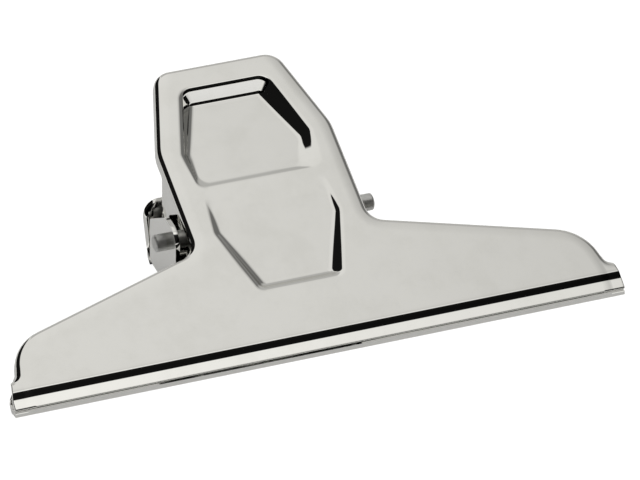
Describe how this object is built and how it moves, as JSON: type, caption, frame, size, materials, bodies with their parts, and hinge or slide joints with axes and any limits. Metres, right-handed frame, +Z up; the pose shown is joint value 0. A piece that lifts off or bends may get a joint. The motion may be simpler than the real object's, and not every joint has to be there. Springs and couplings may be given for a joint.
{
  "type": "wide spring paper clip",
  "caption": "Wide sprung letter clip: two stamped plated-steel plates hinged on a pin, straight jaw lips, one long recessed handle and a short finger rest.",
  "frame": {"origin": "on the back plate's outer face, straight below the axis of the hinge pin, half way along the pin", "axes": "+X along the jaws and the hinge pin, +Y from the jaws to the handle, +Z up from the back plate's outer face, on which the clip lies"},
  "size_m": [0.145, 0.0744, 0.0357],
  "materials": {
    "plated_sheet": "bright nickel-plated stamped steel sheet, polished, with faint orange peel and fine handling marks",
    "plated_pin": "bright nickel-plated drawn steel, turned ends",
    "spring_wire": "plated spring steel wire, satin from drawing"
  },
  "bodies": {
    "back": {"back_plate": "plated_sheet", "hinge_pin": "plated_pin", "left_spring": "spring_wire", "right_spring": "spring_wire"},
    "front": {"front_plate": "plated_sheet"}
  },
  "joints": [
    {"name": "jaw_hinge", "type": "hinge", "parent": "back", "child": "front", "pos_m": [0, 0, 0.01219], "axis": [-1, 0, 0], "range_deg": [0, 38], "stiffness_Nm_per_rad": 2.6, "springref_deg": -30.94, "deforming": ["left_spring", "right_spring"]}
  ]
}
